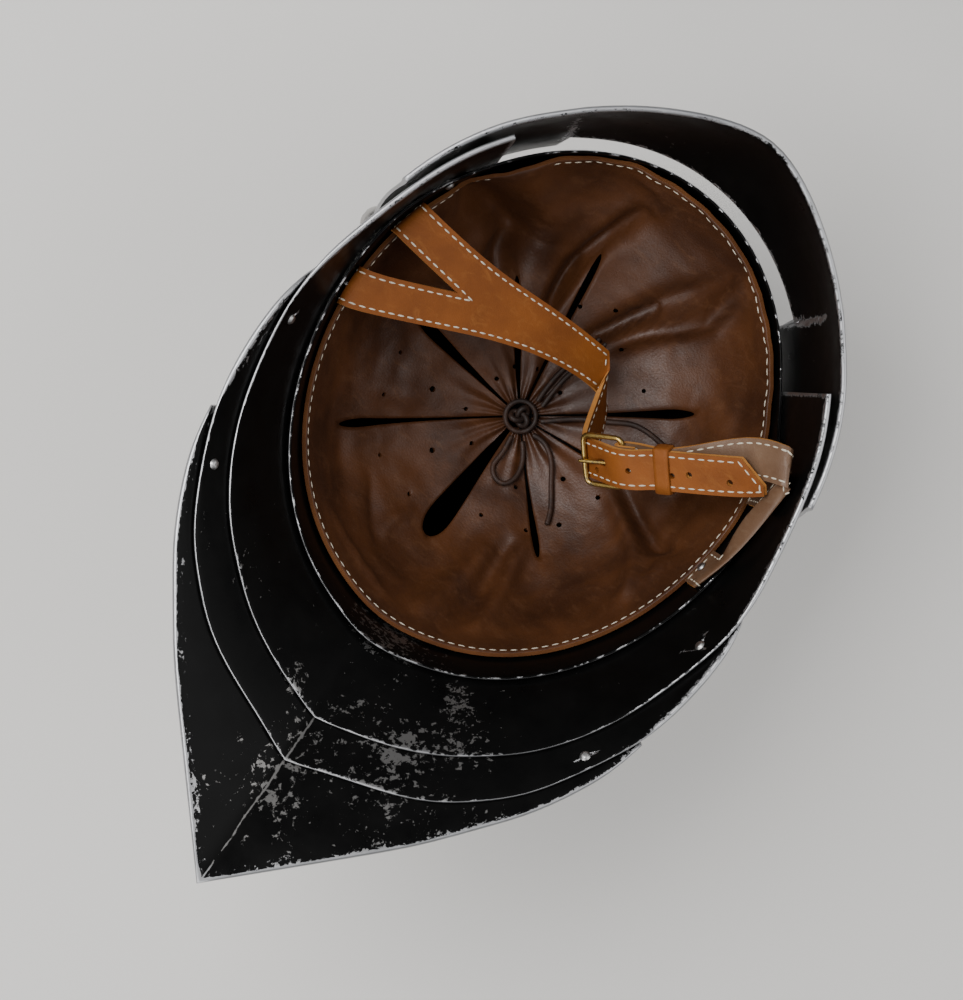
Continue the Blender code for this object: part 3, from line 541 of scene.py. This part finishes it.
for node, body, rivets, rim_width, rolled, rolled_width in plates:
    piece = merged_copy(node, node + "_plate")
    if rivets:
        heal_holes(piece, rivets)
    rims = outline_points(piece, 38)
    to_quads(piece)
    crease_edges(piece, 60)
    if node in ("tail", "lame_2", "lame_1"):
        edit(piece, "EDGE")
        ridge = bmesh.from_edit_mesh(piece.data)
        for edge in ridge.edges:
            if all(abs(vertex.co.x) < 0.1 * MM for vertex in edge.verts):
                edge.select = True
        bmesh.update_edit_mesh(piece.data)
        bpy.ops.transform.edge_crease(value=0.8)
        done()
    modify(piece, "SUBSURF", levels=2, render_levels=2)
    mark_plate(piece, rims, rim_width, rolled, rolled_width)
    smooth(piece, 40)
    piece.data.materials.append(ridge_paint if node in ("tail", "lame_2") else plain_paint)
    stand_for(piece, node, body)

# %% [markdown]
# ## Rivets and bolts
# The rivets are turned heads of plain steel, worn bright on top. The model's heads have few sides, so their
# copies are creased where head and plate meet and smoothed.

# %% Material: bare steel
def bare_steel(name, light, dark, roughness):
    material, tree, shader, place = new_material(name)
    metal = place_group(tree, steel_group, {"Place": place})
    bright = mix_colour(tree, metal["Tone"], dark, light)
    tree.links.new(mix_colour(tree, metal["Dull"], bright, (0.12, 0.11, 0.10, 1)), shader.inputs["Base Color"])
    tree.links.new(maths(tree, "MULTIPLY_ADD", metal["Lines"], 0.2, roughness), shader.inputs["Roughness"])
    shader.inputs["Metallic"].default_value = 1
    bump(tree, shader, metal["Lines"], 0.05 * MM, 0.5)
    return material


rivet_steel = bare_steel("rivet steel", (0.62, 0.61, 0.60, 1), (0.34, 0.33, 0.32, 1), 0.25)
moving = {"tail_pivot_left": "lame_2", "tail_pivot_right": "lame_2"}
for node in lame_rivets + pivots_2 + tail_pivots + bolts:
    piece = merged_copy(node, node + "_head")
    to_quads(piece)
    crease_edges(piece, 62, 0.75)
    modify(piece, "SUBSURF", levels=2, render_levels=2)
    smooth(piece, 50)
    piece.data.materials.append(rivet_steel)
    stand_for(piece, node, moving.get(node, "helmet"))

# %% [markdown]
# ## Leather
# Leather has a fine pebbled grain, broad shifts of tone and soft creases. One group makes grain and tone
# for all the leather here. Each material sets its own scale and colours.

# %% Group: leather grain
leather_group, g_in, g_out = new_group(
    "leather grain",
    (("Place", "NodeSocketVector"), ("Scale", "NodeSocketFloat")),
    (("Grain", "NodeSocketFloat"), ("Tone", "NodeSocketFloat"), ("Marks", "NodeSocketFloat")))
cells = add(leather_group, "ShaderNodeTexVoronoi", {"Vector": g_in["Place"], "Scale": g_in["Scale"]})
fine = noise_at(leather_group, g_in["Place"], 1800, 3)
grain = maths(leather_group, "MULTIPLY_ADD", fine, 0.6, cells.outputs["Distance"])
leather_group.links.new(grain, g_out["Grain"])
leather_group.links.new(noise_at(leather_group, g_in["Place"], 22, 5, 0.6, 0.4), g_out["Tone"])
scuffs = noise_at(leather_group, stretched(leather_group, g_in["Place"], (1.0, 2.2, 1.0)), 90, 8, 0.7, 0.6)
leather_group.links.new(step(leather_group, scuffs, 0.50, 0.72), g_out["Marks"])
print("made the leather group")


# %% Material: leather
def leather(name, dark, light, worn, scale, roughness, grain_depth, gloss):
    material, tree, shader, place = new_material(name)
    skin = place_group(tree, leather_group, {"Place": place, "Scale": scale})
    base = mix_colour(tree, step(tree, skin["Tone"], 0.30, 0.70), dark, light)
    # the worn colour goes on the scuff marks; for the strap's grain side that colour is a painted sheen
    scuffed_and_sheen = mix_colour(tree, maths(tree, "MULTIPLY", skin["Marks"], 0.35), base, worn)
    tree.links.new(scuffed_and_sheen, shader.inputs["Base Color"])
    tree.links.new(maths(tree, "MULTIPLY_ADD", skin["Grain"], 0.14, roughness), shader.inputs["Roughness"])
    shader.inputs["Specular IOR Level"].default_value = gloss
    bump(tree, shader, skin["Grain"], grain_depth, 0.6)
    return material


hides = (
    # name, dark and light and worn colour, scale of the grain, roughness, depth of the grain, gloss
    ("liner leather", (0.038, 0.0125, 0.0042, 1), (0.086, 0.029, 0.0088, 1), (0.13, 0.056, 0.024, 1),
     900, 0.36, 0.12 * MM, 0.42),
    ("strap leather", (0.150, 0.042, 0.0065, 1), (0.225, 0.067, 0.0105, 1), (0.30, 0.115, 0.025, 1),
     1100, 0.52, 0.1 * MM, 0.22),
    # the strap's grain side: its colours are painted lighter and greyer for the sheen on it, and its worn colour
    # is the sheen's own colour
    ("strap grain side with painted sheen", (0.105, 0.052, 0.026, 1), (0.155, 0.088, 0.050, 1), (0.22, 0.15, 0.095, 1),
     1100, 0.34, 0.1 * MM, 0.5),
    ("cut edge of leather", (0.30, 0.11, 0.022, 1), (0.50, 0.22, 0.055, 1), (0.16, 0.055, 0.014, 1),
     2600, 0.75, 0.3 * MM, 0.2),
    ("cut edge of liner", (0.085, 0.028, 0.008, 1), (0.15, 0.055, 0.016, 1), (0.06, 0.02, 0.006, 1),
     2600, 0.7, 0.2 * MM, 0.2),
    ("lace leather", (0.012, 0.0055, 0.0035, 1), (0.045, 0.018, 0.009, 1), (0.10, 0.042, 0.02, 1),
     1500, 0.48, 0.1 * MM, 0.4),
)
leathers = {hide[0]: leather(*hide) for hide in hides}
print("made", len(leathers), "leathers")

# %% [markdown]
# ## Stitches
# A stitch is a short, fat piece of thread that dips into the leather at both ends. We shape one from a ball
# and copy it along a seam. The seam's path comes from the piece itself: its face is inset by the seam's
# distance from the edge, and the new loop of edges is the line that the needle follows.

# %% Find a seam
def face_loop(original, slot, inset):
    """Insets the side that has a slot, on a copy, and returns the new loops as chains of points."""
    piece = bpy.data.objects.new("pattern", original.data.copy())
    bpy.context.scene.collection.objects.link(piece)
    edit(piece, "FACE")
    piece.active_material_index = slot
    bpy.ops.object.material_slot_select()
    bpy.ops.mesh.inset(thickness=inset, use_even_offset=True)
    bpy.ops.mesh.region_to_loop()
    shape = bmesh.from_edit_mesh(piece.data)
    shape.edges.index_update()
    loose = {edge for edge in shape.edges if edge.select}
    chains = []
    while loose:
        first = min(loose, key=lambda edge: edge.index)
        loose.discard(first)
        chain = [first.verts[0], first.verts[1]]
        for end in (1, 0):
            while True:
                tip = chain[-1] if end else chain[0]
                onward = [edge for edge in tip.link_edges if edge in loose]
                if not onward:
                    break
                loose.discard(onward[0])
                following = onward[0].other_vert(tip)
                chain.insert(len(chain) if end else 0, following)
        chains.append([vertex.co.copy() for vertex in chain])
    done()
    bpy.data.objects.remove(piece)
    return chains


# %% Sew along a seam
stitch_size = (3.7 * MM, 1.0 * MM, 0.8 * MM)
stitch_pitch = 5.1 * MM
stitch_sink = 0.08 * MM


def make_stitch():
    bpy.ops.object.select_all(action="DESELECT")
    bpy.ops.mesh.primitive_uv_sphere_add(segments=6, ring_count=6, radius=0.5)
    stitch = bpy.context.object
    bpy.ops.object.mode_set(mode="EDIT")
    bpy.ops.transform.rotate(value=math.pi / 2, orient_axis="Y", center_override=(0, 0, 0))
    bpy.ops.transform.resize(value=stitch_size, center_override=(0, 0, 0))
    done()
    return stitch


def spaced(chain, pitch):
    """Places and directions at equal steps along a chain of points."""
    total = sum((b - a).length for a, b in zip(chain, chain[1:]))
    count = max(1, round(total / pitch))
    places, walked, target = [], 0.0, total / count / 2
    for a, b in zip(chain, chain[1:]):
        length = (b - a).length
        while length and walked + length >= target and len(places) < count:
            places.append((a.lerp(b, (target - walked) / length), (b - a).normalized()))
            target += total / count
        walked += length
    return places


def sew(name, chains, surface):
    """Lays a copy of the stitch at each step of a seam, turned along it and square on the surface."""
    stitch = make_stitch()
    stitch_points = len(stitch.data.vertices)
    points, faces = [], []
    for chain in chains:
        for spot, along in spaced(chain, stitch_pitch):
            spot, normal, _, _ = surface.find_nearest(spot)
            side = normal.cross(along).normalized()
            turn = Matrix((side.cross(normal), side, normal)).transposed()
            start = len(points)
            points += [spot - normal * stitch_sink + turn @ vertex.co for vertex in stitch.data.vertices]
            faces += [[start + index for index in face.vertices] for face in stitch.data.polygons]
    mesh = bpy.data.meshes.new(name)
    mesh.from_pydata(points, [], faces)
    thread = bpy.data.objects.new(name, mesh)
    bpy.context.scene.collection.objects.link(thread)
    bpy.data.objects.remove(stitch)
    edit(thread, "FACE")
    bpy.ops.mesh.select_all(action="SELECT")
    bpy.ops.mesh.normals_make_consistent(inside=False)
    done()
    smooth(thread, 80)
    thread.data.materials.append(thread_look)
    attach(thread, "helmet")
    print(name, "has", len(points) // stitch_points, "stitches")


# %% Material: thread
thread_look, tree, shader, place = new_material("waxed thread")
strands = add(tree, "ShaderNodeTexWave", {"Vector": place, "Scale": 900, "Distortion": 2.0})
linen = mix_colour(tree, noise_at(tree, place, 260), (0.42, 0.36, 0.27, 1), (0.74, 0.68, 0.56, 1))
tree.links.new(linen, shader.inputs["Base Color"])
shader.inputs["Roughness"].default_value = 0.7
bump(tree, shader, strands.outputs["Fac"], 0.1 * MM, 0.6)
print("made", thread_look.name)

# %% [markdown]
# ## Punched holes
# The liner and the strap have small round holes. We cut them with a boolean: one cutter of many round rods,
# each standing square on the leather where the picture shows a hole.

# %% Punch holes
rod_length = 7 * MM


def punch(piece, seen, radius):
    """Cuts the holes that are listed with their place in the picture and their size, as a share of the radius."""
    surface = surface_of(piece)
    rods = []
    for across, down, size in seen:
        point, normal, _ = seen_at(surface, across, down)
        if not point:
            continue
        bpy.ops.object.select_all(action="DESELECT")
        bpy.ops.mesh.primitive_cylinder_add(vertices=14, radius=radius * size, depth=rod_length, location=point,
                                            rotation=normal.to_track_quat("Z", "Y").to_euler())
        rods.append(bpy.context.object)
    bpy.ops.object.select_all(action="DESELECT")
    for rod in rods:
        rod.select_set(True)
    bpy.context.view_layer.objects.active = rods[0]
    bpy.ops.object.join()
    cutter = bpy.context.object
    modify(piece, "BOOLEAN", operation="DIFFERENCE", solver="EXACT", object=cutter)
    bpy.data.objects.remove(cutter)
    print("punched", len(rods), "holes in", piece.name, "which now has", len(piece.data.polygons), "faces")


# %% [markdown]
# ## The liner
# The liner is a bowl of soft leather, cut into eight tongues that a lace pulls together. Pulling gathers the
# leather: it folds between the tongues and puckers near the seam. After smoothing, each fold is pressed in
# or raised along a line seen in the picture.

# %% Folds of the liner
folds = (
    # places in the picture, half width, height
    # the hollow beside the bulge at the top
    (((462, 186), (490, 210), (512, 234), (500, 278)), 8.0 * MM, -12.5 * MM),
    (((503, 240), (500, 265), (498, 292)), 6.5 * MM, -9.8 * MM),
    (((515, 166), (540, 188), (556, 214), (548, 240)), 12.0 * MM, 8.4 * MM),
    # the long fold toward the middle, with its valley
    (((664, 200), (655, 218), (619, 253), (580, 290), (562, 316)), 5.0 * MM, 9.8 * MM),
    (((642, 214), (606, 241), (572, 268), (550, 306)), 4.5 * MM, -11.9 * MM),
    (((578, 268), (562, 288), (549, 310)), 3.0 * MM, -9.8 * MM),
    (((641, 180), (660, 191), (667, 202), (658, 214)), 2.6 * MM, 2.6 * MM),
    # the fold from the side
    (((741, 284), (728, 302), (711, 320), (686, 326), (640, 333), (606, 345)), 5.0 * MM, 8.4 * MM),
    (((738, 276), (700, 292), (663, 304), (625, 321), (592, 336)), 5.5 * MM, -6.3 * MM),
    (((652, 313), (630, 322), (606, 333), (588, 338)), 2.6 * MM, -8.4 * MM),
    # along the seam at the left
    (((322, 490), (347, 540), (372, 580), (400, 611)), 3.6 * MM, 2.6 * MM),
    (((372, 478), (373, 508), (377, 538)), 4.0 * MM, -2.6 * MM),
    (((384, 530), (394, 518), (410, 512)), 3.4 * MM, 2.2 * MM),
    # two broad ridges at the back seam
    (((416, 612), (451, 587), (477, 561), (491, 543)), 7.0 * MM, 5.9 * MM),
    (((474, 630), (497, 601), (514, 563), (524, 545)), 5.0 * MM, 5.9 * MM),
    (((462, 618), (489, 575), (506, 545)), 4.6 * MM, -3.0 * MM),
    (((540, 620), (538, 596), (532, 575)), 8.0 * MM, -2.4 * MM),
    (((436, 546), (421, 580), (405, 614)), 1.6 * MM, -0.9 * MM),
    # the pinched fold under the buckle
    (((623, 492), (637, 520), (652, 544), (672, 550)), 4.0 * MM, -7.7 * MM),
    (((613, 492), (624, 520), (635, 549), (631, 584), (621, 606)), 5.5 * MM, 7.0 * MM),
    (((662, 556), (650, 578), (640, 602)), 4.0 * MM, 2.6 * MM),
    # softer waves
    (((330, 400), (343, 445), (345, 490)), 9.0 * MM, -3.2 * MM),
    (((352, 378), (392, 392), (430, 402)), 7.0 * MM, 2.0 * MM),
    (((700, 400), (722, 425), (725, 470)), 10.0 * MM, 3.0 * MM),
    (((690, 470), (672, 500), (668, 530)), 8.0 * MM, -2.6 * MM),
    (((425, 330), (455, 362), (490, 395)), 5.0 * MM, -3.0 * MM),
)


def fold_by(point, lines):
    """How far a point is lifted by all the folds near it."""
    lift = 0.0
    for chain, width, height in lines:
        best, along = 1.0, 0.0
        for k, (a, b) in enumerate(zip(chain, chain[1:])):
            run = b - a
            t = min(max((point - a).dot(run) / run.length_squared, 0), 1)
            distance = (point - a - run * t).length
            if distance < best:
                best, along = distance, (k + t) / (len(chain) - 1)
        if best < width * 2.6:
            lift += height * math.exp(-(best / width) ** 2) * math.sin(math.pi * (0.10 + 0.80 * along)) ** 0.7
    return lift


# %% Liner
liner_thickness = 2 * MM
liner_seam_inset = 3.4 * MM
liner = merged_copy("liner", "liner_leather")
to_quads(liner)
for name in ("liner leather", "cut edge of liner", "liner leather"):
    liner.data.materials.append(leathers[name])
part_sides(liner, (560, 620), liner_thickness)
# the inset follows the slits too, and the seam is the loop that lies furthest out
pattern = bpy.data.objects.new("liner_pattern", liner.data.copy())
bpy.context.scene.collection.objects.link(pattern)
modify(pattern, "SUBSURF", levels=1, render_levels=1)
loops = face_loop(pattern, 2, liner_seam_inset)
seam = max(loops, key=lambda chain: sum(spot.xy.length for spot in chain) / len(chain))
bpy.data.objects.remove(pattern)
modify(liner, "SUBSURF", levels=3, render_levels=3)
surface = surface_of(liner)

# %% Holes of the liner
holes_seen = (
    # across, down, size
    (400, 352, 1), (381, 394, 1), (432, 389, 1.4), (466, 409, 1), (380, 455, 1), (433, 450, 1.3), (472, 443, 1),
    (409, 494, 1), (516, 487, 1), (481, 515, 1), (526, 530, 1), (559, 525, 1.2), (515, 367, 1), (497, 379, 1),
    (538, 369, 1), (580, 307, 1), (615, 312, 1), (622, 349, 1), (644, 391, 1), (560, 393, 1), (563, 479, 1.2),
    (598, 498, 1.1),
)
liner_hole_radius = 1.15 * MM
punch(liner, holes_seen, liner_hole_radius)

# %% Fold the liner
fold_lines = []
for seen, width, height in folds:
    chain = [seen_at(surface, across, down)[0] for across, down in seen]
    if all(chain):
        fold_lines.append((chain, width, height))
gather = Vector((-0.004, -0.010, 0.05))
over_opening = Vector((0, -0.01, 0.20))
waves = (
    # how many to a metre, height
    (38, 1.7 * MM),
    (90, 0.7 * MM),
    (240, 0.2 * MM),
)
for vertex in liner.data.vertices:
    spot = vertex.co
    flat = Vector((spot.x - gather.x, spot.y - gather.y, 0))
    away = flat.length
    turn = math.atan2(flat.x, flat.y)
    lift = fold_by(spot, fold_lines)
    # the lace gathers the leather round the middle
    gathered = math.exp(-(away / (34 * MM)) ** 2) * min(away / (9 * MM), 1)
    lift += gathered * 0.8 * MM * (math.sin(turn * 21 + 2 * noise.noise(spot * 40)) - 0.8)
    lift += sum(noise.noise(spot * number) * height for number, height in waves)
    # it puckers towards the seam, and lies flat under the stitches
    to_seam = between(spot.z, 96 * MM, 118 * MM)
    lift += math.sin(turn * 46 + 3 * noise.noise(spot * 25)) * 0.4 * MM * to_seam
    lift *= 1 - between(spot.z, 112 * MM, 128 * MM)
    vertex.co = spot + (over_opening - spot).normalized() * lift
smooth(liner, 60)
print("folds:", len(fold_lines), "and a seam of", len(seam), "points")

# %% Seam of the liner
sew("liner_stitches", [seam + seam[:1]], surface_of(liner))
stand_for(liner, "liner", "helmet")

# %% [markdown]
# ## The chin straps
# Each strap is two layers of tan leather, sewn together along both edges. Its faces are smooth and the cut
# edges are paler, so the narrow sides get a second material. The buckle strap shows its grain side, whose
# colour is painted lighter and greyer for the sheen on it.

# %% Part the two layers at the cut edge
strap_thickness = 2.4 * MM
strap_seam_inset = 2.3 * MM
strap_hole_radius = 1.5 * MM
groove_depth = 0.35 * MM


def part_layers(strap):
    """Splits the cut edges along their middle and pulls that line in, so that two layers show."""
    shape = bmesh.new()
    shape.from_mesh(strap.data)
    across = [edge for edge in shape.edges if edge.calc_length() < 1.6 * strap_thickness
              and all(face.material_index == 1 for face in edge.link_faces)]
    cut = bmesh.ops.subdivide_edges(shape, edges=across, cuts=1)
    middle = {item for item in cut["geom_inner"] if isinstance(item, bmesh.types.BMVert)}
    shape.normal_update()
    inward = {}
    for vertex in middle:
        away = sum((face.normal for face in vertex.link_faces), Vector())
        if away.length > 0.1:
            inward[vertex] = away.normalized() * groove_depth
    for vertex, move in inward.items():
        vertex.co -= move
    creases = shape.edges.layers.float["crease_edge"]
    for edge in shape.edges:
        if all(vertex in middle for vertex in edge.verts):
            edge[creases] = 0.8
    shape.to_mesh(strap.data)
    shape.free()
    print(strap.name, "has its layers parted at", len(inward), "places")


# %% Straps
straps = (
    # node, leather of the seen side (the buckle strap's grain side has painted sheen in its colour), place on the
    # seen side, punched holes
    ("chin_strap_long", "strap leather", (480, 300), ((597, 470, 1), (628, 471, 1), (672, 476, 1))),
    ("chin_strap_buckle", "strap grain side with painted sheen", (765, 461), ()),
)
for node, seen_side_leather, seed, holes in straps:
    strap = merged_copy(node, node + "_leather")
    to_quads(strap)
    for name in ("strap leather", "cut edge of leather", seen_side_leather):
        strap.data.materials.append(leathers[name])
    part_sides(strap, seed, strap_thickness, corners=True)
    part_layers(strap)
    modify(strap, "SUBSURF", levels=2, render_levels=2)
    smooth(strap, 40)
    loops = face_loop(strap, 2, strap_seam_inset) + face_loop(strap, 0, strap_seam_inset)
    # short loops only go round a corner
    sew(node + "_stitches", [chain + chain[:1] for chain in loops if len(chain) > 40], surface_of(strap))
    if holes:
        punch(strap, holes, strap_hole_radius)
    stand_for(strap, node, "helmet")

# %% Keeper, buckle and laces
brass = bare_steel("worn brass", (0.62, 0.44, 0.14, 1), (0.36, 0.22, 0.06, 1), 0.2)
laces = ("lace_tie", "lace_strand_left", "lace_strand_right", "lace_bow", "lace_end_rear", "lace_end_side")
# node, material, record's slot, crease
small = [("strap_keeper", leathers["strap leather"], "strap_leather", 0.6)]
small += [(node, leathers["lace leather"], "lace_leather", 0.5) for node in laces]
small += [(node, brass, "brass", 0.5) for node in ("buckle_frame", "buckle_prong")]
for node, material, slot_name, crease in small:
    piece = merged_copy(node, node + "_fine")
    to_quads(piece)
    crease_edges(piece, 60, crease)
    modify(piece, "SUBSURF", levels=2, render_levels=2)
    smooth(piece, 50)
    piece.data.materials.append(material)
    stand_for(piece, node, "helmet")

# %% [markdown]
# ## The knot
# The lace is tied where the tongues meet. A closed curve that winds over and under itself three times, given
# a round section and made a mesh, looks like such a knot.

# %% Knot of the lace
lace_radius = 1.5 * MM
knot_scale = 1.7 * MM
knot_points = 30


def closed_thong(name, points, radius):
    curve = bpy.data.curves.new(name, "CURVE")
    curve.dimensions = "3D"
    curve.bevel_depth = radius
    curve.bevel_resolution = 3
    spline = curve.splines.new("NURBS")
    spline.points.add(len(points) - 1)
    for k, point in enumerate(points):
        spline.points[k].co = (*point, 1)
    spline.use_cyclic_u = True
    spline.order_u = 4
    piece = bpy.data.objects.new(name, curve)
    bpy.context.scene.collection.objects.link(piece)
    only(piece)
    bpy.ops.object.convert(target="MESH")
    piece = bpy.context.object
    edit(piece)
    bpy.ops.mesh.select_all(action="SELECT")
    bpy.ops.mesh.remove_doubles(threshold=weld_distance)
    bpy.ops.mesh.normals_make_consistent(inside=False)
    done()
    smooth(piece, 60)
    piece.data.materials.append(leathers["lace leather"])
    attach(piece, "helmet")
    print(name, "has", len(piece.data.polygons), "faces")


low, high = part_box("lace_tie")
middle = (low + high) / 2
winding = []
for k in range(knot_points):
    t = 2 * math.pi * k / knot_points
    trefoil = Vector((math.sin(t) + 2 * math.sin(2 * t), math.cos(t) - 2 * math.cos(2 * t), -math.sin(3 * t)))
    winding.append(middle + trefoil * knot_scale)
closed_thong("lace_knot", winding, lace_radius)

# %% [markdown]
# ## Floor and light
# A wide pale floor and large soft lights, as in a small studio. The black paint only shows its shape by what
# it reflects, so one broad light stands at the upper left and a weaker one opposite.

# %% Floor
bpy.ops.object.select_all(action="DESELECT")
bpy.ops.mesh.primitive_plane_add(size=8, location=(0, 0, 0))
floor = bpy.context.object
floor.name = "floor"
floor_look, _, shader, _ = new_material("pale floor")
shader.inputs["Base Color"].default_value = (0.72, 0.70, 0.67, 1)
shader.inputs["Roughness"].default_value = 0.85
floor.data.materials.append(floor_look)
print("made the floor")

# %% Light
lit_place = Vector((0, 0.02, 0.12))
lights = (
    # name, place, size, power
    ("key", (0.75, 0.15, 1.35), 0.9, 22),
    ("fill", (-0.9, -0.5, 1.2), 1.2, 9),
    ("back", (0.1, 1.1, 0.9), 0.8, 7),
)
for name, place, size, power in lights:
    bpy.ops.object.light_add(type="AREA", location=place)
    lamp = bpy.context.object
    lamp.name = name
    lamp.rotation_euler = (lit_place - Vector(place)).to_track_quat("-Z", "Y").to_euler()
    lamp.data.size = size
    lamp.data.energy = power
world = bpy.data.worlds.new("studio")
bpy.context.scene.world = world
world.use_nodes = True
sky = world.node_tree.nodes["Background"].inputs
sky["Color"].default_value = (0.95, 0.97, 1.0, 1)
sky["Strength"].default_value = 0.32
print("lights:", [name for name, *_ in lights])
